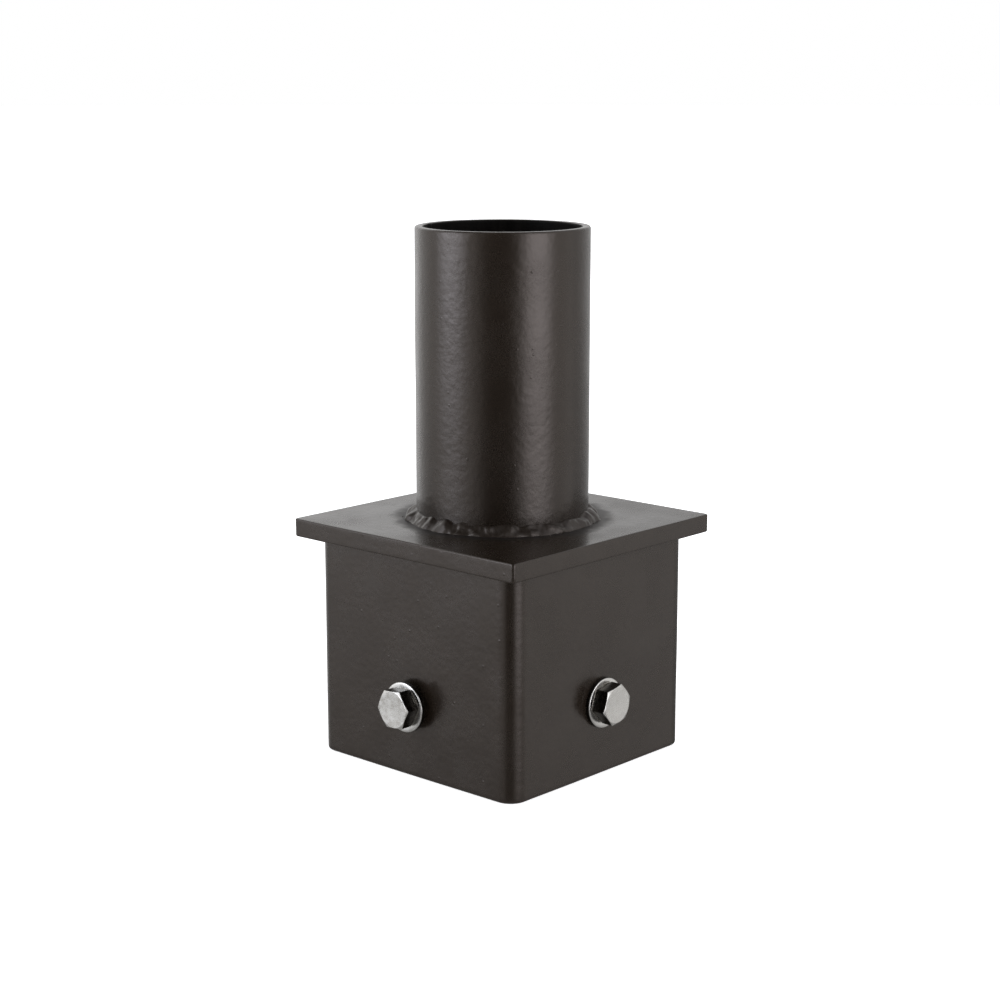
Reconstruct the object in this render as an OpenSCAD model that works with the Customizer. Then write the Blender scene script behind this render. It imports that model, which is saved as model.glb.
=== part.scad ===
// Square pole tenon adapter: a welded steel pole-top fitting.
// The square insert slips into the top of a square pole and the cap plate rests on the pole's rim.
// The round tenon above takes a slipfitter, and four hex bolts clamp the pole's walls to the insert.
// Origin: centre of the cap plate's underside, where the pole's rim seats. +Z runs up the tenon.

/* [Tenon] */
// Outside diameter of the tenon pipe
tenon_od = 60.33; // [48.26:0.01:66]
// Wall thickness of the tenon pipe
tenon_wall = 3; // [2.5:0.1:4]
// Height of the tenon above the cap plate
tenon_h = 101.6; // [76.2:0.1:152.4]
// Leg of the fillet weld round the tenon's foot
tenon_weld_leg = 3.6; // [3:0.1:6]

/* [Cap plate] */
// Side of the square cap plate
plate_w = 103.2; // [99:0.1:127]
// Thickness of the cap plate
plate_t = 6.35; // [4.8:0.05:9.6]
// Easing radius of the plate's four corners
plate_corner_r = 1.2; // [0.5:0.1:6]
// Diameter of the wire hole through the plate
wire_hole_d = 50.8; // [19:0.1:53]

/* [Insert] */
// Outside width of the square insert tube
insert_w = 92.1; // [84:0.1:94]
// How far the insert reaches below the plate's underside
insert_h = 77.8; // [70:0.1:152.4]
// Wall thickness of the insert tube
insert_wall = 3.05; // [2.1:0.05:4.8]
// Outside radius of the insert tube's corners
insert_corner_r = 6.6; // [5:0.1:9]
// Leg of the fillet welds between insert and plate
seam_weld_leg = 4; // [3:0.1:5]
// Length of each of those welds
seam_weld_len = 60; // [30:1:70]

/* [Bolts] */
// Depth of the bolts' axes below the plate's underside
bolt_drop = 51.8; // [25:0.1:60]
// Thread diameter of the bolts
bolt_d = 7.94; // [7.9:0.01:8]
// Thread pitch of the bolts
bolt_pitch = 1.4111; // [1:0.0001:1.5]
// Length of the bolts under the head
bolt_len = 19.05; // [16:0.05:32]
// Width of the bolt heads across flats
head_af = 12.7; // [12:0.1:13]
// Height of the bolt heads
head_h = 5.16; // [4.8:0.01:5.6]
// Outside diameter of the flat washers
washer_od = 17.46; // [15:0.01:22]
// Inside diameter of the flat washers
washer_id = 8.73; // [8.4:0.01:9]
// Thickness of the flat washers
washer_t = 1.65; // [1.2:0.01:2]
// Diameter of the clearance holes in the insert's walls
bolt_hole_d = 9.53; // [8.8:0.01:11]
// Width of the weld nuts across flats
nut_af = 12.7; // [12:0.1:13]
// Thickness of the weld nuts
nut_t = 6.75; // [5:0.05:8]
// Leg of the tacks that hold the weld nuts
tack_leg = 2.5; // [1.5:0.1:3]
// Length of each tack
tack_len = 5; // [3:0.1:6]

/* [Hidden] */
SIDES = ["front", "right", "back", "left"];
$fn = 96;

coat_color = [0.29, 0.26, 0.24];
stainless_color = [0.80, 0.79, 0.77];

// Turns by which each bolt stands backed off its seat, in the order of SIDES
backed_off_turns = [1.75, 0, 0, 0];
// Turn of each hex head about its own axis, in degrees
head_turn = [5, 11, 20, 43];

tenon_r = tenon_od / 2;
tenon_bore_r = tenon_r - tenon_wall;
rim_chamfer = 0.5;
// The pipe's foot is bevelled for the weld, down to a root face of this width
root_face = 1;

locating_recess = 0.5;
fit_gap = 0.1;
insert_inner_w = insert_w - 2 * insert_wall;
insert_inner_r = insert_corner_r - insert_wall;
wall_outer_y = insert_w / 2;
wall_inner_y = wall_outer_y - insert_wall;

shank_r = bolt_d / 2;
tip_chamfer = 0.8;
nut_bore_r = shank_r + 0.05;
hex_to_round = 2 / sqrt(3);
// Height of the 30 degree chamfer on the corners of hex heads and nuts
hex_chamfer = 0.6;
face_play = 0.05;
// How far each washer hangs below its bolt's axis, within the play of its bore
washer_sag = 0.75 * (washer_id - bolt_d) / 2;
through = 1;

module rounded_square(width, radius) {
    inset = width / 2 - radius;
    square([width, 2 * inset], center = true);
    square([2 * inset, width], center = true);
    for (x = [-inset, inset], y = [-inset, inset])
        translate([x, y]) circle(r = radius);
}

// Section of a convex weld bead in the corner between two surfaces at right angles
module bead_section(leg) {
    intersection() {
        square(leg);
        translate([-leg, -leg]) circle(r = leg * sqrt(5));
    }
}

// Straight bead along X, centred, with its corner at the origin and its legs along +Y and +Z
module straight_bead(leg, length) {
    translate([-length / 2, 0, 0])
        rotate([90, 0, 90])
            linear_extrude(length) bead_section(leg);
}

// Hexagonal prism along Z with its outer corners turned off, as on a bolt head
module chamfered_hex(across_flats, height) {
    corner_r = across_flats / 2 * hex_to_round;
    intersection() {
        cylinder(h = height, r = corner_r, $fn = 6);
        rotate_extrude()
            polygon([
                [0, 0],
                [corner_r, 0],
                [corner_r, height - hex_chamfer],
                [corner_r - hex_chamfer * sqrt(3), height],
                [0, height]
            ]);
    }
}

// Puts a child that is drawn for the front wall, with +Z outwards along the bolt, on side i
module on_side(i, out) {
    rotate([0, 0, 90 * i])
        translate([0, -out, -bolt_drop])
            rotate([90, 0, 0]) children();
}

// How far the underside of bolt i's washer stands off the wall
function washer_gap(i) = face_play + backed_off_turns[i] * bolt_pitch;

module tenon_pipe() {
    foot = tenon_bore_r + root_face;
    color(coat_color)
        translate([0, 0, plate_t])
            rotate_extrude()
                polygon([
                    [tenon_bore_r, 0],
                    [foot, 0],
                    [tenon_r, tenon_weld_leg],
                    [tenon_r, tenon_h - rim_chamfer],
                    [tenon_r - rim_chamfer, tenon_h],
                    [tenon_bore_r + rim_chamfer, tenon_h],
                    [tenon_bore_r, tenon_h - rim_chamfer]
                ]);
}

module tenon_weld() {
    foot = tenon_bore_r + root_face;
    color(coat_color)
        translate([0, 0, plate_t])
            rotate_extrude() {
                polygon([[foot, 0], [tenon_r, 0], [tenon_r, tenon_weld_leg]]);
                translate([tenon_r, 0]) bead_section(tenon_weld_leg);
            }
}

module cap_plate() {
    color(coat_color)
        difference() {
            linear_extrude(plate_t) rounded_square(plate_w, plate_corner_r);
            translate([0, 0, -through])
                cylinder(h = plate_t + 2 * through, d = wire_hole_d);
            translate([0, 0, -through])
                linear_extrude(through + locating_recess)
                    rounded_square(insert_w + 2 * fit_gap, insert_corner_r + fit_gap);
        }
}

module insert_box() {
    color(coat_color)
        difference() {
            translate([0, 0, -insert_h])
                linear_extrude(insert_h + locating_recess)
                    difference() {
                        rounded_square(insert_w, insert_corner_r);
                        rounded_square(insert_inner_w, insert_inner_r);
                    }
            for (i = [0:3])
                on_side(i, wall_inner_y - through)
                    cylinder(h = insert_wall + 2 * through, d = bolt_hole_d);
        }
}

// Bead in the inside corner between side i of the insert and the plate
module seam_weld(i) {
    color(coat_color)
        rotate([0, 0, 90 * i])
            translate([0, -wall_inner_y, locating_recess])
                mirror([0, 0, 1]) straight_bead(seam_weld_leg, seam_weld_len);
}

module weld_nut(i) {
    color(coat_color)
        on_side(i, wall_inner_y)
            mirror([0, 0, 1])
                difference() {
                    chamfered_hex(nut_af, nut_t);
                    translate([0, 0, -through])
                        cylinder(h = nut_t + 2 * through, r = nut_bore_r);
                }
}

// Two tacks, on the flats of the nut that face along the wall
module nut_tacks(i) {
    color(coat_color)
        on_side(i, wall_inner_y)
            for (flat = [90, 270])
                rotate([0, 0, flat])
                    translate([nut_af / 2, 0, 0])
                        rotate([0, 0, 90])
                            mirror([0, 1, 0])
                                mirror([0, 0, 1]) straight_bead(tack_leg, tack_len);
}

module washer(i) {
    color(stainless_color)
        on_side(i, wall_outer_y + washer_gap(i))
            translate([0, -washer_sag, 0])
                difference() {
                    cylinder(h = washer_t, d = washer_od);
                    translate([0, 0, -through])
                        cylinder(h = washer_t + 2 * through, d = washer_id);
                }
}

module bolt(i) {
    color(stainless_color)
        on_side(i, wall_outer_y + washer_gap(i) + washer_t + face_play) {
            rotate([0, 0, head_turn[i]]) chamfered_hex(head_af, head_h);
            mirror([0, 0, 1])
                rotate_extrude()
                    polygon([
                        [0, 0],
                        [shank_r, 0],
                        [shank_r, bolt_len - tip_chamfer],
                        [shank_r - tip_chamfer, bolt_len],
                        [0, bolt_len]
                    ]);
        }
}

tenon_pipe();
cap_plate();
insert_box();
tenon_weld();
for (i = [0:3]) {
    seam_weld(i);
    weld_nut(i);
    nut_tacks(i);
    washer(i);
    bolt(i);
}
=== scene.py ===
"""Square pole tenon adapter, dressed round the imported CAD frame. Metres throughout, +Z up the tenon."""

import math
import random

import bmesh
import bpy
from mathutils import Matrix, Vector, noise


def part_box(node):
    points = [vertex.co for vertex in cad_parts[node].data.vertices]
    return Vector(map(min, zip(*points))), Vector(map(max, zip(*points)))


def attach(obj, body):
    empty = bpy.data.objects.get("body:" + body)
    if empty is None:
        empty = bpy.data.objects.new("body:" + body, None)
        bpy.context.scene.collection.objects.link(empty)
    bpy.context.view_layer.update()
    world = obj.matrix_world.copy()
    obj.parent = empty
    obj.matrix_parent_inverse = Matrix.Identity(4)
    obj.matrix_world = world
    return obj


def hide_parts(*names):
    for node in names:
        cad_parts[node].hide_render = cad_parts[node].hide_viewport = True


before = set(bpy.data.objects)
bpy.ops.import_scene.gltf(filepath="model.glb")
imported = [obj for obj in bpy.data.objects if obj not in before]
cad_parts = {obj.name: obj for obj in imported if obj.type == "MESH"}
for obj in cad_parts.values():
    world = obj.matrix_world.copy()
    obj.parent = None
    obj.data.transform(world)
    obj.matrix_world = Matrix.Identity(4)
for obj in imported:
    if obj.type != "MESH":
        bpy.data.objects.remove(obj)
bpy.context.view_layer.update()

MM = 0.001
SIDES = ("front", "right", "back", "left")


def middle_height(node):
    low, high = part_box(node)
    return (low.z + high.z) / 2


# Where the frame says the parts are
plate_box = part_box("cap_plate")
tube_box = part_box("tenon_pipe")
insert_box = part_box("insert_box")
bead_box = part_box("tenon_weld")
plate_half, plate_top = plate_box[1].x, plate_box[1].z
tube_r, tube_top = tube_box[1].x, tube_box[1].z
insert_half, insert_top, insert_bottom = insert_box[1].x, insert_box[1].z, insert_box[0].z
bead_leg = bead_box[1].x - tube_r
bolt_z = middle_height("nut_front")
washer_z = middle_height("washer_front")  # the washers hang a little below their bolts' axes

# Sizes inside those boxes, as the drawing gives them
TUBE_WALL = 3.0 * MM
TUBE_ROOT_FACE = 1.0 * MM
RIM_R = 0.8 * MM
PLATE_CORNER_R = 1.2 * MM
PLATE_EDGE_R = 0.5 * MM
WIRE_HOLE_R = 25.4 * MM
RECESS_GAP = 0.1 * MM
INSERT_WALL = 3.05 * MM
INSERT_CORNER_R = 6.6 * MM
INSERT_EDGE_R = 1.0 * MM
BOLT_HOLE_R = 4.765 * MM
SEAM_LEG, SEAM_LENGTH = 4.0 * MM, 60 * MM
TACK_LEG, TACK_LENGTH = 2.5 * MM, 5 * MM
THREAD_R, PITCH = 3.97 * MM, 1.4111 * MM
BOLT_LENGTH = 19.05 * MM
HEX_AF = 12.7 * MM
HEAD_HEIGHT = 5.16 * MM
NUT_HEIGHT = 6.75 * MM
WASHER_R, WASHER_BORE_R, WASHER_T = 8.73 * MM, 4.365 * MM, 1.65 * MM
HEAD_TURN = (5, 11, 20, 43)

CONTACT = 0.1 * MM  # how far a bead bites into what it joins
WELD_DISTANCE = 0.002 * MM  # mesh points closer than this are one point


# ---------------------------------------------------------------- camera

def make_camera():
    """A long lens a little above the plate, facing the corner between the front and the right wall."""
    azimuth, pan, pitch = (math.radians(a) for a in (42.22, 0.07, 11.84))
    distance, height = 0.7126, 0.1615
    data = bpy.data.cameras.new("camera")
    data.lens, data.sensor_width = 74.69, 36
    camera = bpy.data.objects.new("camera", data)
    camera.location = (distance * math.sin(azimuth), -distance * math.cos(azimuth), height)
    camera.rotation_euler = (math.pi / 2 - pitch, 0, azimuth + pan)
    bpy.context.scene.collection.objects.link(camera)
    bpy.context.scene.camera = camera


make_camera()


# ---------------------------------------------------------------- mesh building

class Skin:
    """The mesh of one piece, made of lofted stretches that are welded where they meet."""

    def __init__(self):
        self.mesh = bmesh.new()

    def loft(self, rings, joined=False, rise=0, open_at=lambda ring, column: False):
        """Quads between successive closed rings, but for those that open_at leaves out.

        On a screw, the seam column meets the ring that is rise higher.
        """
        loops = [[self.mesh.verts.new(point) for point in ring] for ring in rings]
        if joined:
            loops.append(loops[0])
        for k in range(len(loops) - 1 - rise):
            for i in range(len(loops[k])):
                if open_at(k, i):
                    continue
                seam = i == len(loops[k]) - 1
                j, up = (0, rise) if seam else (i + 1, 0)
                self.mesh.faces.new((loops[k][i], loops[k + up][j], loops[k + 1 + up][j], loops[k + 1][i]))

    def cap(self, ring):
        """Closes a ring with a fan round its middle."""
        hub = self.mesh.verts.new(sum(ring, Vector((0, 0, 0))) / len(ring))
        rim = [self.mesh.verts.new(point) for point in ring]
        for a, b in zip(rim, rim[1:] + rim[:1]):
            self.mesh.faces.new((hub, a, b))

    def ball(self, centre, radius):
        bmesh.ops.create_icosphere(
            self.mesh, subdivisions=2, radius=radius, matrix=Matrix.Translation(centre))

    def warp(self, amount, size, seed):
        """Bends the mesh gently, as rolling and welding do: amount deep, in waves about size long."""
        # noise.noise_vector is seeded from the clock, so each axis takes its own plain noise instead
        shifts = [Vector((seed + 7.3 * axis, 2 * seed + 0.5, 3 * seed + 0.5)) for axis in range(3)]
        for vertex in self.mesh.verts:
            place = vertex.co / size
            vertex.co += amount * Vector([noise.noise(place + shift) for shift in shifts])

    def finish(self, name, material, sharp_degrees=38):
        bmesh.ops.remove_doubles(self.mesh, verts=self.mesh.verts, dist=WELD_DISTANCE)
        bmesh.ops.dissolve_degenerate(self.mesh, edges=self.mesh.edges, dist=WELD_DISTANCE / 10)
        bmesh.ops.recalc_face_normals(self.mesh, faces=self.mesh.faces)
        data = bpy.data.meshes.new(name)
        self.mesh.to_mesh(data)
        self.mesh.free()
        data.shade_smooth()
        data.set_sharp_from_angle(angle=math.radians(sharp_degrees))
        data.materials.append(material)
        piece = bpy.data.objects.new(name, data)
        bpy.context.scene.collection.objects.link(piece)
        even = piece.modifiers.new("even_shading", "WEIGHTED_NORMAL")
        even.keep_sharp = True
        return piece


def corner_arc(before, corner, after, radius, steps=4):
    """Points along the arc that rounds one corner of a section."""
    back, ahead = (before - corner).normalized(), (after - corner).normalized()
    half = back.angle(ahead) / 2
    centre = corner + (back + ahead).normalized() * (radius / math.sin(half))
    start = (corner + back * (radius / math.tan(half)) - centre).normalized()
    end = (corner + ahead * (radius / math.tan(half)) - centre).normalized()
    return [centre + radius * start.slerp(end, k / steps) for k in range(steps + 1)]


def section(corners, closed=True):
    """Points of a section.

    Each corner is (across, up, radius, cuts): its place, its rounding and the cuts in the line after it.
    """
    points = [Vector(corner[:2]) for corner in corners]
    count = len(points)
    arcs = []
    for i, (_, _, radius, _) in enumerate(corners):
        loose_end = not closed and i in (0, count - 1)
        if radius == 0 or loose_end:
            arcs.append([points[i]])
        else:
            arcs.append(corner_arc(points[i - 1], points[i], points[(i + 1) % count], radius))
    result = []
    for i, arc in enumerate(arcs):
        result += arc
        cuts = 0 if not closed and i == count - 1 else corners[i][3]
        ahead = arcs[(i + 1) % count][0]
        result += [arc[-1].lerp(ahead, k / (cuts + 1)) for k in range(1, cuts + 1)]
    return result


def turned(angles, section_at):
    """Rings round the Z axis. section_at gives the (radius, height) points at an angle."""
    columns = []
    for a in angles:
        columns.append([Vector((r * math.cos(a), r * math.sin(a), z)) for r, z in section_at(a)])
    return [list(ring) for ring in zip(*columns)]


def even_angles(count):
    return [2 * math.pi * k / count for k in range(count)]


def spread(start, end, cells):
    """Evenly spaced values from start to end, which bound that many cells."""
    return [start + (end - start) * k / cells for k in range(cells + 1)]


def side_turn(side):
    """The rotation that takes the front wall to a side."""
    return Matrix.Rotation(math.radians(90 * side), 3, "Z")


def bump_at(distance, width):
    """A rounded ridge, 1 at its crest."""
    return math.exp(-(distance / width) ** 2)


def dress(piece, body, slot, *nodes):
    """Ties a finished piece to its CAD body and hides the CAD nodes that it stands for. slot is not used."""
    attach(piece, body)
    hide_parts(*nodes)


# ---------------------------------------------------------------- materials

def add_node(tree, kind, inputs=None, **settings):
    """A new node. inputs maps an input's name or number to a value or to another node's output."""
    node = tree.nodes.new(kind)
    for key, value in settings.items():
        setattr(node, key, value)
    for key, value in (inputs or {}).items():
        if isinstance(value, bpy.types.NodeSocket):
            tree.links.new(value, node.inputs[key])
        else:
            node.inputs[key].default_value = value
    return node


def new_material(name):
    material = bpy.data.materials.new(name)
    material.use_nodes = True
    tree = material.node_tree
    shader = tree.nodes["Principled BSDF"]
    place = add_node(tree, "ShaderNodeTexCoord").outputs["Object"]
    return material, tree, shader, place


# Spans of a noise's values that are stretched over a range. The narrower one gives more contrast
CORE, MOST = (0.35, 0.65), (0.3, 0.7)


def grain(tree, place, size, detail=2.0, roughness=0.5):
    """Cloudy noise whose features are about size across, from 0 to 1."""
    inputs = {"Vector": place, "Scale": 1 / size, "Detail": detail, "Roughness": roughness}
    return add_node(tree, "ShaderNodeTexNoise", inputs).outputs[0]


def remap(tree, value, low, high, to_low=0.0, to_high=1.0, smooth=False):
    inputs = {"Value": value, "From Min": low, "From Max": high, "To Min": to_low, "To Max": to_high}
    kind = "SMOOTHSTEP" if smooth else "LINEAR"
    return add_node(tree, "ShaderNodeMapRange", inputs, interpolation_type=kind).outputs["Result"]


def calc(tree, operation, a, b=0.0):
    return add_node(tree, "ShaderNodeMath", {0: a, 1: b}, operation=operation).outputs[0]


def blend_colour(tree, share, a, b):
    inputs = {"Factor": share, 6: a, 7: b}
    return add_node(tree, "ShaderNodeMix", inputs, data_type="RGBA").outputs[2]


def relief(tree, height, depth, below=None):
    """A bump layer, depth metres from its lowest to its highest, on top of the layer below."""
    inputs = {"Height": height, "Distance": depth}
    if below is not None:
        inputs["Normal"] = below
    return add_node(tree, "ShaderNodeBump", inputs).outputs["Normal"]


def flattened(tree, vector):
    """A vector without its height."""
    return add_node(tree, "ShaderNodeVectorMath", {0: vector, 1: (1, 1, 0)}, operation="MULTIPLY").outputs[0]


def edge_share(tree, low, high):
    """How pointed the mesh is at a place: 0 up to low, 1 from high. Flat faces lie at 0.5."""
    pointed = add_node(tree, "ShaderNodeNewGeometry").outputs["Pointiness"]
    return remap(tree, pointed, low, high, smooth=True)


BRONZE = (0.0100, 0.0069, 0.0047, 1)
BRONZE_PALE = (0.0132, 0.0094, 0.0066, 1)
# worn edge colour, also standing in as a painted edge highlight
BRONZE_EDGE_WEAR_AND_HIGHLIGHT = (0.030, 0.023, 0.017, 1)
BRONZE_SHEEN = (1.0, 0.90, 0.84, 1)  # the film tints what it mirrors head-on
# painted shade: near-black colour for the plate round the tenon's bead
BEAD_PAINTED_SHADE = (0.0012, 0.0009, 0.0007, 1)
# painted shade: near-black colours for the inside of the tenon's bore
BORE_SHADE, BORE_SHADE_PALE = (0.0024, 0.0020, 0.0017, 1), (0.0055, 0.0047, 0.0040, 1)
STEEL, STEEL_PALE = (0.56, 0.545, 0.52, 1), (0.66, 0.645, 0.62, 1)
STEEL_IN_HOLLOWS = (0.20, 0.185, 0.165, 1)
# dark colour of the flats and rims: their duller forging, darkened further as painted dark reflection
FORGED_AND_PAINTED_DARK, FORGED_AND_PAINTED_DARK_PALE = (0.045, 0.040, 0.035, 1), (0.085, 0.077, 0.067, 1)


def axis_distance(tree, place):
    """Distance from the tenon's axis."""
    level = flattened(tree, place)
    return add_node(tree, "ShaderNodeVectorMath", {0: level}, operation="LENGTH").outputs["Value"]


SHADE_RING_NEAR, SHADE_RING_FAR = 1 * MM, 7 * MM  # from the bead's toe: where the painted shade and dull film are full, and where they end
SHADE_RING_FULL = 0.75
SHADE_RING_RAGGED, SHADE_RING_RAGGED_SIZE = 2 * MM, 7 * MM  # how far its edge wanders, and how long the wander is


def round_bead(tree, place):
    """The ragged ring round the tenon's bead where the plate is darkened with painted shade and its film is
    duller.
    """
    toe = tube_r + bead_leg
    wander = grain(tree, place, SHADE_RING_RAGGED_SIZE, detail=3)
    ragged = remap(tree, wander, *MOST, -SHADE_RING_RAGGED, SHADE_RING_RAGGED)
    distance = calc(tree, "ADD", axis_distance(tree, place), ragged)
    return remap(tree, distance, toe + SHADE_RING_FAR, toe + SHADE_RING_NEAR, 0.0, SHADE_RING_FULL, smooth=True)


# Sizes of the coat's features, from broad to fine
CLOUD_SIZE, SATIN_SIZE, MOTTLE_SIZE = 32 * MM, 14 * MM, 5 * MM
SEED_SPACING, PEEL_SIZE, GRIT_SIZE = 3.4 * MM, 2.2 * MM, 0.55 * MM
SEED_DEPTH = 0.05 * MM
SEED_FOOT, SEED_TOP = 0.16, 0.03  # radii of a seed, as shares of the spacing
SEED_PICKED = (0.62, 0.70)  # a cell's random value from which it has a seed, and a full one
COAT_EDGE = (0.52, 0.62)  # how pointed an edge is where the rubbing and its painted edge highlight start, and where they are full
CLOUD_WEIGHT, MOTTLE_WEIGHT = 0.6, 0.4
EDGE_WEAR_AND_HIGHLIGHT_STRENGTH, RUB_POLISH = 0.5, 0.08
SHADE_RING_DULLS = 0.35
SATIN_SWAY, GRIT_SWAY = 0.05, 0.03  # how far the roughness varies either way


def coat_material(name, peel_depth, grit_depth, roughness, shade_ring=None):
    """Dark bronze powder coat: orange peel, fine grit, stray seeds in the film, thinner and lighter on the
    edges, the lighter colour partly a painted edge highlight.

    The last argument gives the share by which the coat is dull and darkened with painted shade at a place.
    """
    material, tree, shader, place = new_material(name)
    shader.inputs["Specular Tint"].default_value = BRONZE_SHEEN
    clouds = grain(tree, place, CLOUD_SIZE, detail=3)
    mottle = grain(tree, place, MOTTLE_SIZE, detail=3)
    tone = calc(tree, "ADD", calc(tree, "MULTIPLY", clouds, CLOUD_WEIGHT),
                calc(tree, "MULTIPLY", mottle, MOTTLE_WEIGHT))
    film = blend_colour(tree, remap(tree, tone, *CORE), BRONZE, BRONZE_PALE)
    if shade_ring:
        shade_and_dull = shade_ring(tree, place)
        # painted shade round the foot of the tenon's bead
        film = blend_colour(tree, shade_and_dull, film, BEAD_PAINTED_SHADE)
    # edges worn thin and painted lighter; the lighter colour is partly a painted edge highlight
    edge_wear_and_highlight = calc(tree, "MULTIPLY", edge_share(tree, *COAT_EDGE), remap(tree, mottle, 0.35, 0.6))
    tree.links.new(blend_colour(tree, calc(tree, "MULTIPLY", edge_wear_and_highlight, EDGE_WEAR_AND_HIGHLIGHT_STRENGTH), film, BRONZE_EDGE_WEAR_AND_HIGHLIGHT),
                   shader.inputs["Base Color"])

    peel = grain(tree, place, PEEL_SIZE, detail=1.5, roughness=0.45)
    grit = grain(tree, place, GRIT_SIZE, detail=2.5, roughness=0.6)
    cells = add_node(tree, "ShaderNodeTexVoronoi", {"Vector": place, "Scale": 1 / SEED_SPACING})
    seed_here = remap(tree, cells.outputs["Distance"], SEED_FOOT, SEED_TOP, smooth=True)
    lot = add_node(tree, "ShaderNodeSeparateColor", {0: cells.outputs["Color"]}).outputs[0]
    seeds = calc(tree, "MULTIPLY", seed_here, remap(tree, lot, *SEED_PICKED))

    satin = remap(tree, grain(tree, place, SATIN_SIZE, detail=4), *MOST,
                  roughness - SATIN_SWAY, roughness + SATIN_SWAY)
    worn = calc(tree, "SUBTRACT", satin, calc(tree, "MULTIPLY", edge_wear_and_highlight, RUB_POLISH))
    if shade_ring:
        worn = calc(tree, "ADD", worn, calc(tree, "MULTIPLY", shade_and_dull, SHADE_RING_DULLS))
    tree.links.new(calc(tree, "ADD", worn, remap(tree, grit, *MOST, -GRIT_SWAY, GRIT_SWAY)),
                   shader.inputs["Roughness"])
    normal = relief(tree, peel, peel_depth)
    normal = relief(tree, grit, grit_depth, normal)
    normal = relief(tree, seeds, SEED_DEPTH, normal)
    tree.links.new(normal, shader.inputs["Normal"])
    return material


def bore_shade_material():
    """The black inside of the tenon's bore: rough rolled steel under a dull film, its near-black colour
    painted shade.
    """
    material, tree, shader, place = new_material("bore_shade")
    shader.inputs["Specular IOR Level"].default_value = 0.06
    along_tube = (1, 1, 0.2)  # a scale that draws the grain out along the tube
    streaks = add_node(tree, "ShaderNodeMapping", {"Vector": place, "Scale": along_tube}).outputs[0]
    drawn = grain(tree, streaks, 2.5 * MM, detail=4)
    tree.links.new(blend_colour(tree, remap(tree, drawn, *CORE), BORE_SHADE, BORE_SHADE_PALE),
                   shader.inputs["Base Color"])
    tree.links.new(remap(tree, drawn, *MOST, 0.45, 0.7), shader.inputs["Roughness"])
    tree.links.new(relief(tree, drawn, 0.05 * MM), shader.inputs["Normal"])
    return material


TURNING_SCALE = 1250.0  # of the wave texture that draws the fine rings of a turned face
STEEL_HOLLOW = (0.40, 0.49)  # how pointed a hollow is where it is darkest, and where it ends
STEEL_MARKS = 0.0015 * MM  # depth of the rings and of the scratches


def stainless_material():
    """Stainless: bright turned faces with fine rings, haze and scratches, and dark flats and rims from the
    forging, their darkness partly a painted dark reflection.
    """
    material, tree, shader, place = new_material("stainless")
    shader.inputs["Metallic"].default_value = 1.0
    haze = grain(tree, place, 2.5 * MM, detail=2)
    steel = blend_colour(tree, remap(tree, haze, *MOST), STEEL, STEEL_PALE)
    # darker in the mesh's hollows
    hollow = calc(tree, "SUBTRACT", 1.0, edge_share(tree, *STEEL_HOLLOW))
    hollow_darkened = blend_colour(tree, calc(tree, "MULTIPLY", hollow, 0.6), steel, STEEL_IN_HOLLOWS)
    # flats and rims, facing across the axis, get the near-black colour: partly their forging, partly painted
    # dark reflection
    facing = add_node(tree, "ShaderNodeTexCoord").outputs["Normal"]
    axial = add_node(tree, "ShaderNodeSeparateXYZ", {0: facing}).outputs["Z"]
    flats_forged_and_painted_dark = remap(tree, calc(tree, "ABSOLUTE", axial), 0.45, 0.15, smooth=True)
    flats_dark_colour = blend_colour(tree, remap(tree, haze, *CORE), FORGED_AND_PAINTED_DARK, FORGED_AND_PAINTED_DARK_PALE)
    tree.links.new(blend_colour(tree, flats_forged_and_painted_dark, hollow_darkened, flats_dark_colour), shader.inputs["Base Color"])
    rings = add_node(
        tree, "ShaderNodeTexWave",
        {"Vector": place, "Scale": TURNING_SCALE, "Distortion": 1.5, "Detail": 2.0, "Detail Scale": 2.0},
        wave_type="RINGS", rings_direction="Z").outputs["Fac"]
    stretched = add_node(tree, "ShaderNodeMapping",
                         {"Vector": place, "Rotation": (0.3, 0.2, 0.7), "Scale": (1, 9, 3)}).outputs[0]
    scratches = grain(tree, stretched, 1.6 * MM, detail=3, roughness=0.6)
    polish = calc(tree, "ADD", remap(tree, haze, *MOST, 0.20, 0.30),
                  remap(tree, scratches, 0.45, 0.7, 0.0, 0.07))
    tree.links.new(polish, shader.inputs["Roughness"])
    normal = relief(tree, rings, STEEL_MARKS)
    normal = relief(tree, scratches, STEEL_MARKS, normal)
    tree.links.new(normal, shader.inputs["Normal"])
    return material


PEEL, GRIT, SATIN = 0.05 * MM, 0.005 * MM, 0.25
WELD_PEEL, WELD_GRIT, WELD_SATIN = 0.10 * MM, 0.012 * MM, 0.34
powder_coat = coat_material("powder_coat", PEEL, GRIT, SATIN)
tube_coat = coat_material("tube_coat", 1.4 * PEEL, GRIT, SATIN)
plate_coat = coat_material("plate_coat", PEEL, GRIT, SATIN, round_bead)
coated_weld = coat_material("coated_weld", WELD_PEEL, WELD_GRIT, WELD_SATIN)
bore_shade = bore_shade_material()
stainless = stainless_material()


# ---------------------------------------------------------------- tenon tube

TUBE_COLUMNS, TUBE_ROWS = 300, 44
TUBE_SEAM_ANGLE = math.radians(200)  # where the tube's own welded seam runs
TUBE_SEAM_HEIGHT = 0.45 * MM
TUBE_SEAM_WIDTH = 1.1 * MM
BEVEL_SHARE = 0.6  # how far the bevel at the tube's foot climbs, as a share of the bead
BORE_EDGE = 0.3 * MM  # how far outside the bore its near-black painted shade ends, on the rim's rounding


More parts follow.
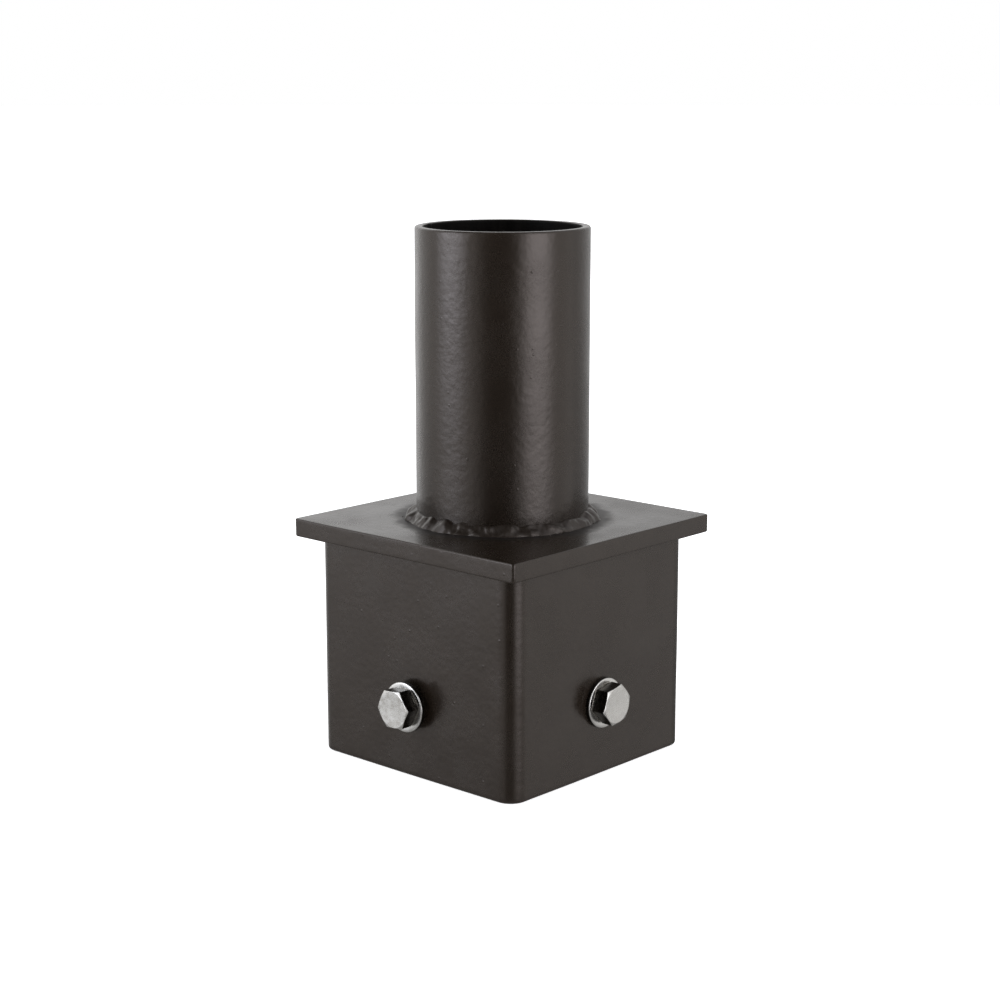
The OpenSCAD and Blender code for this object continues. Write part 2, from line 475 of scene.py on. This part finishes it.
def tube_section(angle):
    bore_r = tube_r - TUBE_WALL
    off_seam = math.remainder(angle - TUBE_SEAM_ANGLE, 2 * math.pi) * bore_r
    bore_r -= TUBE_SEAM_HEIGHT * bump_at(off_seam, TUBE_SEAM_WIDTH)
    return section([
        (bore_r, plate_top, 0, 0),
        (tube_r - TUBE_WALL + TUBE_ROOT_FACE, plate_top, 0, 0),
        (tube_r, plate_top + BEVEL_SHARE * bead_leg, 0, TUBE_ROWS),
        (tube_r, tube_top, RIM_R, 2),
        (bore_r, tube_top, RIM_R, TUBE_ROWS),
    ])


def make_tube():
    skin = Skin()
    skin.loft(turned(even_angles(TUBE_COLUMNS), tube_section), joined=True)
    skin.warp(amount=0.10 * MM, size=26 * MM, seed=3)
    piece = skin.finish("tenon_tube", tube_coat)
    # the bore's faces take the near-black painted shade
    piece.data.materials.append(bore_shade)
    for face in piece.data.polygons:
        face.material_index = int(face.center.to_2d().length < tube_r - TUBE_WALL + BORE_EDGE)
    dress(piece, "adapter", "powder_coat", "tenon_pipe")


# ---------------------------------------------------------------- cap plate

def square_radius(angle, half, corner_r):
    """Distance from the middle of a rounded square to its outline in a direction."""
    lean = abs(math.remainder(angle, math.pi / 2))
    if math.tan(lean) * half <= half - corner_r:
        return half / math.cos(lean)
    centre = half - corner_r
    along = centre * (math.cos(lean) + math.sin(lean))
    return along + math.sqrt(along ** 2 - 2 * centre ** 2 + corner_r ** 2)


def plate_angles():
    """Directions round the plate, closer together where its corners and the recess's corners turn."""
    quarter = spread(-40.5, 40.5, 27) + spread(41, 44, 6) + spread(44.3, 45.7, 8) + spread(46, 49, 6)
    return [math.radians(90 * side + a) for side in range(4) for a in quarter]


def plate_section(angle):
    edge = square_radius(angle, plate_half, PLATE_CORNER_R)
    recess = square_radius(angle, insert_half + RECESS_GAP, INSERT_CORNER_R + RECESS_GAP)
    return section([
        (WIRE_HOLE_R, insert_top, 0.2 * MM, 2),
        (WIRE_HOLE_R, plate_top, 0.3 * MM, 22),
        (edge, plate_top, PLATE_EDGE_R, 3),
        (edge, 0, PLATE_EDGE_R, 3),
        (recess, 0, 0.1 * MM, 0),
        (recess, insert_top, 0.1 * MM, 10),
    ])


def make_plate():
    skin = Skin()
    skin.loft(turned(plate_angles(), plate_section), joined=True)
    skin.warp(amount=0.12 * MM, size=30 * MM, seed=11)
    dress(skin.finish("mounting_plate", plate_coat), "adapter", "powder_coat", "cap_plate")


# ---------------------------------------------------------------- insert tube

HOLE_BLOCK = 12 * MM  # half width of the square patch of mesh round each bolt hole
BLOCK_CELLS = 16
FLAT_CELLS = 24
CORNER_CELLS = 9
ROWS_ABOVE, ROWS_BELOW = 14, 5
INSERT_SEAM_SIDE = SIDES.index("left")  # the wall with the tube's own welded seam
INSERT_SEAM_AT = 24 * MM  # how far along that wall
INSERT_SEAM_HEIGHT, INSERT_SEAM_WIDTH = 0.5 * MM, 1.3 * MM


def insert_columns():
    """(outer point, outward direction, inner ridge) of each mesh column, and their number on a side."""
    flat_end = insert_half - INSERT_CORNER_R
    along = (spread(-flat_end, -HOLE_BLOCK, FLAT_CELLS)[:-1]
             + spread(-HOLE_BLOCK, HOLE_BLOCK, BLOCK_CELLS)[:-1]
             + spread(HOLE_BLOCK, flat_end, FLAT_CELLS))
    columns = []
    for side in range(4):
        turn = side_turn(side)
        for u in along:
            ridge = bump_at(u - INSERT_SEAM_AT, INSERT_SEAM_WIDTH) if side == INSERT_SEAM_SIDE else 0
            columns.append((turn @ Vector((u, -insert_half, 0)), turn @ Vector((0, -1, 0)), ridge))
        for k in range(1, CORNER_CELLS):
            lean = math.pi / 2 * k / CORNER_CELLS
            out = Vector((math.sin(lean), -math.cos(lean), 0))
            corner = Vector((flat_end, -flat_end, 0)) + INSERT_CORNER_R * out
            columns.append((turn @ corner, turn @ out, 0))
    return columns, len(along) + CORNER_CELLS - 1


def insert_rings(columns):
    """Rings of the tube wall, down the outside, round the sawn end and up the inside, and their number."""
    block_top, block_bottom = bolt_z + HOLE_BLOCK, bolt_z - HOLE_BLOCK
    heights = (spread(insert_top, block_top, ROWS_ABOVE)[:-1]
               + spread(block_top, block_bottom, BLOCK_CELLS)[:-1]
               + spread(block_bottom, insert_bottom + 2 * INSERT_EDGE_R, ROWS_BELOW))
    end = section([
        (0, heights[-1], 0, 0),
        (0, insert_bottom, INSERT_EDGE_R, 1),
        (INSERT_WALL, insert_bottom, INSERT_EDGE_R, 0),
        (INSERT_WALL, heights[-1], 0, 0),
    ], closed=False)
    path = [(0, z) for z in heights[:-1]] + [tuple(p) for p in end]
    path += [(INSERT_WALL, z) for z in heights[-2::-1]]
    rings = []
    for depth, z in path:
        inside = depth > INSERT_WALL * 0.99
        ring = []
        for point, out, ridge in columns:
            swell = INSERT_SEAM_HEIGHT * ridge if inside else 0
            ring.append(point - out * (depth + swell) + Vector((0, 0, z)))
        rings.append(ring)
    return rings, len(path)


def hole_rings(side):
    """Rings that take the mesh from a square patch on the outside, through the bolt hole, to the inside."""
    edge = 0.35 * MM
    cells = spread(-HOLE_BLOCK, HOLE_BLOCK, BLOCK_CELLS)[:-1]
    square = [(u, -HOLE_BLOCK) for u in cells] + [(HOLE_BLOCK, z) for z in cells]
    square += [(-u, HOLE_BLOCK) for u in cells] + [(-HOLE_BLOCK, -z) for z in cells]
    square = [Vector(p) for p in square]
    bore = section([
        (BOLT_HOLE_R + 2 * edge, 0, 0, 0),
        (BOLT_HOLE_R, 0, edge, 2),
        (BOLT_HOLE_R, INSERT_WALL, edge, 0),
        (BOLT_HOLE_R + 2 * edge, INSERT_WALL, 0, 0),
    ], closed=False)
    turn = side_turn(side)

    def ring(shape, depth):
        return [turn @ Vector((p.x, depth - insert_half, bolt_z + p.y)) for p in shape]

    def between(share):
        return [p.lerp(p.normalized() * bore[0].x, share) for p in square]

    shares = (0, 0.3, 0.55, 0.8)
    rings = [ring(between(share), 0) for share in shares]
    rings += [ring([p.normalized() * r for p in square], depth) for r, depth in bore]
    return rings + [ring(between(share), INSERT_WALL) for share in reversed(shares)]


def make_insert():
    columns, per_side = insert_columns()
    rings, ring_count = insert_rings(columns)

    def in_hole_block(ring, column):
        place = column % per_side
        on_block = FLAT_CELLS <= place < FLAT_CELLS + BLOCK_CELLS
        row = min(ring, ring_count - 2 - ring)
        return on_block and ROWS_ABOVE <= row < ROWS_ABOVE + BLOCK_CELLS

    skin = Skin()
    skin.loft(rings, joined=True, open_at=in_hole_block)
    for side in range(4):
        skin.loft(hole_rings(side))
    skin.warp(amount=0.14 * MM, size=34 * MM, seed=7)
    dress(skin.finish("insert_tube", powder_coat), "adapter", "powder_coat", "insert_box")


# ---------------------------------------------------------------- weld beads

BEAD_STEPS = 14
BEAD_LOW, BEAD_HIGH = math.atan2(1, 2), math.atan2(2, 1)  # where the bead's arc meets its two legs
BEAD_SHARP = 60  # degrees
# How a hand-laid bead varies, each with the length of its waves: its leg, twice, how steeply it climbs, and
# the blobs and the roughness of its surface
LEG_SWELL, LEG_SWELL_SIZE = 0.22, 7 * MM
LEG_QUIVER, LEG_QUIVER_SIZE = 0.09, 2.4 * MM
CLIMB, CLIMB_SWAY, CLIMB_SIZE = 0.90, 0.30, 4.5 * MM
BLOB, BLOB_SIZE, BLOB_TURNOVER = 1.9, 3.6 * MM, 1.3
ROUGH, ROUGH_SIZE, ROUGH_TURNOVER = 0.25, 1.3 * MM, 2.5
SCALLOP, SINK = 0.15, 0.2


def bead_outline(leg, ripple, place, lump):
    """Bead points from toe to toe, as (out, up) from the corner.

    ripple counts the ripples along the bead, and lump is the height of its lumps.
    """
    swell = LEG_SWELL * noise.noise(place / LEG_SWELL_SIZE)
    leg *= 1 + swell + LEG_QUIVER * noise.noise(place / LEG_QUIVER_SIZE)
    climb = CLIMB + CLIMB_SWAY * noise.noise(place / CLIMB_SIZE + Vector((5, 0, 0)))
    points = []
    for k in range(BEAD_STEPS + 1):
        share = k / BEAD_STEPS
        turn = BEAD_LOW + (BEAD_HIGH - BEAD_LOW) * share
        blob = noise.noise(place / BLOB_SIZE + Vector((0, 0, BLOB_TURNOVER * share)))
        scallop = math.sin(math.pi * (ripple + 0.5 * (2 * share - 1) ** 2)) ** 2
        rough = noise.noise(place / ROUGH_SIZE + Vector((0, 0, ROUGH_TURNOVER * share)))
        relief_here = BLOB * blob + SCALLOP * scallop - SINK + ROUGH * rough
        rise = math.sin(math.pi * share) ** 0.5 * lump * relief_here
        radius = leg * math.sqrt(5) + rise
        points.append(Vector((radius * math.cos(turn) - leg, (radius * math.sin(turn) - leg) * climb)))
    return points


RING_STATIONS = 900
RING_RIPPLES, RIPPLE_WANDER, RIPPLE_WANDER_SIZE = 58, 1.6, 7 * MM
RING_STOPS = ((233, 0.24), (31, 0.30), (140, 0.18))  # degrees, and how much fatter the bead is at a stop
STOP_WIDTH = 4.5  # degrees
RING_LUMP, SEAM_LUMP, TACK_LUMP = 0.55 * MM, 0.5 * MM, 0.4 * MM
SPATTER_COUNT = 26
SPATTER_RADII, SPATTER_REACH = (0.12, 0.26), 1.6  # mm, the second from the bead's toe
SPATTER_SUNK = 0.2  # height of a ball's middle over the plate, as a share of its radius
BEAD_STATION, RIPPLE_LENGTH = 0.35 * MM, 2.6 * MM  # along the straight beads
BEAD_TIP = 0.02 * MM  # what is left of a straight bead's leg at its ends


def stop_swell(angle):
    """How much a stop fattens the ring bead at an angle."""
    degrees = math.degrees(angle)
    return sum(share * bump_at(math.remainder(degrees - at, 360), STOP_WIDTH) for at, share in RING_STOPS)


def ring_bead_section(angle):
    place = tube_r * Vector((math.cos(angle), math.sin(angle), 0))
    wander = RIPPLE_WANDER * noise.noise(place / RIPPLE_WANDER_SIZE)
    ripple = RING_RIPPLES * angle / (2 * math.pi) + wander
    arc = bead_outline(bead_leg * (1 + stop_swell(angle)), ripple, place, RING_LUMP)
    outer = [(tube_r + p.x, plate_top + p.y) for p in arc]
    outer[0] = (outer[0][0], plate_top - CONTACT)
    root = tube_r - TUBE_WALL + TUBE_ROOT_FACE
    return outer + [
        (tube_r - CONTACT, outer[-1][1]),
        (root, plate_top + CONTACT),
        (root, plate_top - CONTACT),
    ]


def make_ring_bead():
    skin = Skin()
    skin.loft(turned(even_angles(RING_STATIONS), ring_bead_section), joined=True)
    dice = random.Random(5)
    for _ in range(SPATTER_COUNT):
        a, radius = dice.uniform(0, 2 * math.pi), dice.uniform(*SPATTER_RADII) * MM
        out = tube_r + bead_leg + dice.uniform(0, SPATTER_REACH) * MM
        skin.ball((out * math.cos(a), out * math.sin(a), plate_top + SPATTER_SUNK * radius), radius)
    dress(skin.finish("tenon_bead", coated_weld, BEAD_SHARP), "adapter", "coated_weld", "tenon_weld")


def straight_bead(skin, leg, length, lump, put):
    """A short bead with rounded ends. put(along, out, up) gives a point in the frame."""
    stations = max(16, round(length / BEAD_STATION))
    rings = []
    for k in range(stations + 1):
        u = length * (k / stations - 0.5)
        past = max(0.0, abs(u) - (length / 2 - leg)) / leg
        size = leg * math.sqrt(max(0.0, 1 - past ** 2)) + BEAD_TIP
        arc = bead_outline(size, u / RIPPLE_LENGTH, put(u, 0, 0), lump * size / leg)
        ring = [put(u, p.x, p.y) for p in arc]
        ring += [put(u, -CONTACT, arc[-1].y), put(u, -CONTACT, -CONTACT), put(u, arc[0].x, -CONTACT)]
        rings.append(ring)
    skin.loft(rings)
    skin.cap(rings[0])
    skin.cap(rings[-1])


def make_seam_bead(side):
    turn = side_turn(side)
    wall_y = INSERT_WALL - insert_half

    def put(along, out, up):
        return turn @ Vector((along, wall_y + out, insert_top - up))

    skin = Skin()
    straight_bead(skin, SEAM_LEG, SEAM_LENGTH, SEAM_LUMP, put)
    piece = skin.finish("seam_bead_" + SIDES[side], coated_weld, BEAD_SHARP)
    dress(piece, "adapter", "coated_weld", "seam_weld_" + SIDES[side])


def make_tacks(side):
    turn = side_turn(side)
    wall_y = INSERT_WALL - insert_half
    skin = Skin()
    for way in (1, -1):
        def put(along, out, up, way=way):
            return turn @ Vector((along, wall_y + up, bolt_z + way * (HEX_AF / 2 + out)))

        straight_bead(skin, TACK_LEG, TACK_LENGTH, TACK_LUMP, put)
    piece = skin.finish("tack_beads_" + SIDES[side], coated_weld, BEAD_SHARP)
    dress(piece, "adapter", "coated_weld", "nut_tacks_" + SIDES[side])


# ---------------------------------------------------------------- bolts, nuts and washers

HEX_CORNER_R = 0.35 * MM
CHAMFER_CIRCLE_R = 6.25 * MM
CHAMFER_SLOPE = math.tan(math.radians(21))
THREAD_DEPTH = 0.61 * PITCH
THREAD_BREAKS = (-1 / 16, 1 / 16, 3 / 8, 5 / 8)  # crest and root edges, in pitches
THREAD_PLAY = 0.05 * MM
SPARE_TURNS = 3  # turns of the screw's mesh past either end, which are flattened onto the ends
TIP_CHAMFER = 0.8 * MM
NECK_R, NECK_LENGTH = 3.5 * MM, 0.8 * MM
BEARING_R, BEARING_HEIGHT = 6.0 * MM, 0.35 * MM
COUNTERSINK_R = 4.4 * MM


def hex_radius(angle):
    """Distance to the outline of a hexagon with a corner at angle 0 and slightly rounded corners."""
    off_corner = math.remainder(angle, math.pi / 3)
    centre_r = (HEX_AF / 2 - HEX_CORNER_R) / math.cos(math.pi / 6)
    rounded_to = math.pi / 6 - math.atan2(centre_r / 2, HEX_AF / 2)
    if abs(off_corner) < rounded_to:
        aside = centre_r * math.sin(off_corner)
        return centre_r * math.cos(off_corner) + math.sqrt(HEX_CORNER_R ** 2 - aside ** 2)
    return HEX_AF / 2 / math.cos(math.pi / 6 - abs(off_corner))


def hex_angles():
    sixth = spread(-1.9, 1.9, 4) + spread(4.5, 55.5, 12)
    return [math.radians(60 * k + a) for k in range(6) for a in sixth]


def chamfer_drop(angle):
    """How far below its flat end the chamfer meets the side of the hexagon."""
    return (hex_radius(angle) - CHAMFER_CIRCLE_R) * CHAMFER_SLOPE


def thread_radius(along, angle):
    """Radius of the bolt's right-hand thread, along the axis from the underside of its head."""
    off_crest = abs(math.remainder(along / PITCH - angle / (2 * math.pi), 1))
    crest, root = THREAD_BREAKS[1], THREAD_BREAKS[2]
    share = min(1.0, max(0.0, (off_crest - crest) / (root - crest)))
    return THREAD_R - THREAD_DEPTH * share


def screw_rings(angles, low, high, radius_at, along_shift=0.0, turn_shift=0.0):
    """Helical rows along the thread's edges, held between low and high."""
    rings = []
    first = math.floor((low + along_shift) / PITCH) - SPARE_TURNS
    last = math.ceil((high + along_shift) / PITCH) + SPARE_TURNS
    for turn in range(first, last):
        for edge in THREAD_BREAKS:
            ring = []
            for a in angles:
                z = (turn + edge + (a + turn_shift) / (2 * math.pi)) * PITCH - along_shift
                z = min(high, max(low, z))
                r = radius_at(z, a)
                ring.append(Vector((r * math.cos(a), r * math.sin(a), z)))
            rings.append(ring)
    return rings


def bolt_head_section(angle):
    side_r = hex_radius(angle)
    return section([
        (NECK_R, -NECK_LENGTH, 0, 0),
        (NECK_R, 0, 0.2 * MM, 0),
        (BEARING_R, 0, 0.1 * MM, 0),
        (BEARING_R, BEARING_HEIGHT, 0, 0),
        (side_r - 0.25 * MM, BEARING_HEIGHT, 0, 0),
        (side_r, BEARING_HEIGHT + 0.15 * MM, 0, 3),
        (side_r, HEAD_HEIGHT - chamfer_drop(angle), 0.08 * MM, 0),
        (CHAMFER_CIRCLE_R, HEAD_HEIGHT, 0.12 * MM, 3),
        (0.6 * MM, HEAD_HEIGHT - 0.06 * MM, 0, 0),
    ], closed=False)


def shank_radius(z, angle):
    tip = THREAD_R - TIP_CHAMFER + (z + BOLT_LENGTH)
    return min(thread_radius(z, angle), tip)


def bolt_mesh():
    """The bolt along +Z, from the underside of its head."""
    skin = Skin()
    angles = hex_angles()
    head = turned(angles, bolt_head_section)
    skin.loft(head)
    skin.cap(head[-1])
    shank = screw_rings(angles, -BOLT_LENGTH, -NECK_LENGTH, shank_radius)
    skin.loft(shank, rise=len(THREAD_BREAKS))
    skin.loft([shank[-1], head[0]])
    skin.cap(shank[0])
    return skin


def bolt_frame(side, out, turn_degrees=0):
    """Axes of a bolt on one side: +Z outwards along it, the origin at that distance from the middle."""
    return (Matrix.Rotation(math.radians(90 * side), 4, "Z")
            @ Matrix.Translation((0, -out, bolt_z))
            @ Matrix.Rotation(math.radians(90), 4, "X")
            @ Matrix.Rotation(math.radians(turn_degrees), 4, "Z"))


def reach(node, side):
    """How far a node extends outwards on its side."""
    low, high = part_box(node)
    return (-low.y, high.x, high.y, -low.x)[side]


def seat_of_head(side):
    return reach("bolt_" + SIDES[side], side) - HEAD_HEIGHT


def make_bolt(side):
    piece = bolt_mesh().finish("hex_bolt_" + SIDES[side], stainless, sharp_degrees=22)
    piece.matrix_world = bolt_frame(side, seat_of_head(side), HEAD_TURN[side])
    dress(piece, SIDES[side] + "_bolt", "stainless_steel", "bolt_" + SIDES[side])


def make_washer(side):
    shape = section([
        (WASHER_BORE_R, 0, 0.1 * MM, 0),
        (WASHER_R, 0, 0.12 * MM, 0),
        (WASHER_R, WASHER_T, 0.4 * MM, 3),
        (WASHER_BORE_R, WASHER_T, 0.25 * MM, 0),
    ])
    skin = Skin()
    skin.loft(turned(even_angles(120), lambda angle: shape), joined=True)
    piece = skin.finish("flat_washer_" + SIDES[side], stainless)
    piece.matrix_world = Matrix.Translation((0, 0, washer_z - bolt_z)) @ bolt_frame(
        side, reach("washer_" + SIDES[side], side) - WASHER_T)
    dress(piece, SIDES[side] + "_washer", "stainless_steel", "washer_" + SIDES[side])


def nut_section(angle):
    side_r = hex_radius(angle)
    return section([
        (COUNTERSINK_R, 0, 0, 0),
        (side_r, 0, 0.12 * MM, 3),
        (side_r, chamfer_drop(angle) - NUT_HEIGHT, 0.08 * MM, 0),
        (CHAMFER_CIRCLE_R, -NUT_HEIGHT, 0.12 * MM, 1),
        (COUNTERSINK_R, -NUT_HEIGHT, 0, 0),
    ], closed=False)


def make_nut(side):
    """Weld nut in the wall's corner, threaded so that the bolt's thread runs in it."""
    wall = insert_half - INSERT_WALL
    seat, turn = seat_of_head(side) - wall, math.radians(HEAD_TURN[side])

    def bore_radius(z, angle):
        from_end = min(-z, z + NUT_HEIGHT)
        return max(thread_radius(z - seat, angle - turn) + THREAD_PLAY, COUNTERSINK_R - from_end)

    skin = Skin()
    angles = hex_angles()
    skin.loft(turned(angles, nut_section))
    skin.loft(screw_rings(angles, -NUT_HEIGHT, 0, bore_radius, -seat, -turn), rise=len(THREAD_BREAKS))
    piece = skin.finish("weld_nut_" + SIDES[side], powder_coat, sharp_degrees=28)
    piece.matrix_world = bolt_frame(side, wall)
    dress(piece, "adapter", "powder_coat", "nut_" + SIDES[side])


make_tube()
make_plate()
make_insert()
make_ring_bead()
for side_number in range(4):
    make_seam_bead(side_number)
    make_tacks(side_number)
    make_nut(side_number)
    make_washer(side_number)
    make_bolt(side_number)


# ---------------------------------------------------------------- studio

def window(tree, flat, elevation, azimuth, half, feather, low, high, soft):
    """1 inside a soft-edged patch of the surroundings, 0 outside; all angles in degrees."""
    a = math.radians(azimuth)
    facing = add_node(tree, "ShaderNodeVectorMath", {0: flat, 1: (math.sin(a), -math.cos(a), 0)},
                      operation="DOT_PRODUCT").outputs["Value"]
    off = calc(tree, "MULTIPLY", calc(tree, "ARCCOSINE", facing), math.degrees(1))
    across = remap(tree, off, half + feather, half - feather, smooth=True)
    above = remap(tree, elevation, low - soft, low + soft, smooth=True)
    below = remap(tree, elevation, high + soft, high - soft, smooth=True)
    return calc(tree, "MULTIPLY", across, calc(tree, "MULTIPLY", above, below))


# Patches of the room, in degrees: azimuth, half width and its feather, lowest and highest elevation and
# their feather. Azimuth 0 is in front, 90 on the right. Glows add coloured light, dims take away a share.
GLOWS = (
    ((-28, 16.5, 12, -5.8, 8, 5.2), (5.1, 5.45, 6.2)),
    ((-32, 17, 12, 26, 40, 5), (3.9, 4.2, 4.85)),
    ((89, 16.5, 12, -12, 7, 8), (3.15, 3.15, 3.4)),
    ((89, 16.5, 12, 26, 40, 5), (3.3, 3.3, 3.55)),
    ((138, 14, 10, -26, -14, 3), (0.22, 0.22, 0.22)),
    ((-42, 14, 10, -16.5, -12.5, 2.5), (0.28, 0.28, 0.28)),
    ((-116, 22, 14, -24, 38, 6), (0.35, 0.35, 0.35)),
    ((222, 40, 15, 7, 38, 6), (0.12, 0.12, 0.12)),
    ((140, 50, 40, 42, 74, 8), (0.60, 0.60, 0.65)),
)
DIMS = (
    ((37, 26, 15, -22, 42, 5), 0.97),
    ((197, 50, 5, -30, 60, 6), 0.32),
    ((-90, 28, 12, -30, -9, 4), 0.25),
    ((180, 22, 10, -30, -9, 4), 0.38),
)
# How the room's brightness varies: lower and upper elevation, and the brightness at each
GROUND = (-23, -9, 0.36, 1.0)
ROOF = (38, 56, 1.0, 0.12)
FLOOR_RADIUS = 12.0
LAMP_HEIGHT, LAMP_SIZE, LAMP_POWER = 1.6, 1.6, 6


def make_world():
    """A pale room, dim overhead, underfoot and round the camera, with a cool softbox on either side."""
    world = bpy.data.worlds.new("studio")
    bpy.context.scene.world = world
    world.use_nodes = True
    tree = world.node_tree
    tree.nodes.clear()
    direction = add_node(tree, "ShaderNodeTexCoord").outputs["Generated"]
    up = add_node(tree, "ShaderNodeSeparateXYZ", {0: direction}).outputs["Z"]
    elevation = calc(tree, "MULTIPLY", calc(tree, "ARCSINE", up), math.degrees(1))
    level = flattened(tree, direction)
    flat = add_node(tree, "ShaderNodeVectorMath", {0: level}, operation="NORMALIZE").outputs[0]

    ground = remap(tree, elevation, *GROUND, smooth=True)
    room = calc(tree, "MULTIPLY", ground, remap(tree, elevation, *ROOF, smooth=True))
    for patch, share in DIMS:
        dimmed = calc(tree, "MULTIPLY", window(tree, flat, elevation, *patch), share)
        room = calc(tree, "MULTIPLY", room, calc(tree, "SUBTRACT", 1.0, dimmed))
    total = add_node(tree, "ShaderNodeCombineXYZ", {0: room, 1: room, 2: room}).outputs[0]
    for patch, colour in GLOWS:
        share = window(tree, flat, elevation, *patch)
        inputs = {0: colour, "Scale": share}
        glow = add_node(tree, "ShaderNodeVectorMath", inputs, operation="SCALE").outputs[0]
        total = add_node(tree, "ShaderNodeVectorMath", {0: total, 1: glow}, operation="ADD").outputs[0]
    lit = add_node(tree, "ShaderNodeBackground", {"Color": total, "Strength": 1.0})
    backdrop = add_node(tree, "ShaderNodeBackground", {"Color": (1, 1, 1, 1), "Strength": 1.0})
    seen = add_node(tree, "ShaderNodeLightPath").outputs["Is Camera Ray"]
    mixed = add_node(tree, "ShaderNodeMixShader", {0: seen, 1: lit.outputs[0], 2: backdrop.outputs[0]})
    add_node(tree, "ShaderNodeOutputWorld", {"Surface": mixed.outputs[0]})


def make_floor():
    """A pale floor under the insert, seen from above only, so that the underside can be looked at."""
    material = bpy.data.materials.new("pale_floor")
    material.use_nodes = True
    tree = material.node_tree
    shader = tree.nodes["Principled BSDF"]
    shader.inputs["Base Color"].default_value = (0.9, 0.9, 0.9, 1)
    shader.inputs["Roughness"].default_value = 0.9
    shader.inputs["Specular IOR Level"].default_value = 0.0
    shader.inputs["Emission Color"].default_value = (1, 1, 1, 1)
    shader.inputs["Emission Strength"].default_value = 0.75
    clear = add_node(tree, "ShaderNodeBsdfTransparent")
    back = add_node(tree, "ShaderNodeNewGeometry").outputs["Backfacing"]
    mixed = add_node(tree, "ShaderNodeMixShader", {0: back, 1: shader.outputs[0], 2: clear.outputs[0]})
    tree.links.new(mixed.outputs[0], tree.nodes["Material Output"].inputs["Surface"])
    bpy.ops.mesh.primitive_circle_add(
        vertices=96, radius=FLOOR_RADIUS, fill_type="NGON", location=(0, 0, insert_bottom - CONTACT))
    floor = bpy.context.object
    floor.name = "pale_floor"
    floor.data.materials.append(material)
    floor.visible_glossy = False


def make_ceiling_light():
    """A wide soft light overhead, which keeps the floor pale."""
    data = bpy.data.lights.new("ceiling_light", "AREA")
    data.shape, data.size = "DISK", LAMP_SIZE
    data.energy = LAMP_POWER
    light = bpy.data.objects.new("ceiling_light", data)
    light.location = (0, 0, LAMP_HEIGHT)
    light.visible_glossy = False
    light.visible_camera = False
    bpy.context.scene.collection.objects.link(light)


make_world()
make_floor()
make_ceiling_light()
bpy.context.scene.view_settings.view_transform = "Standard"
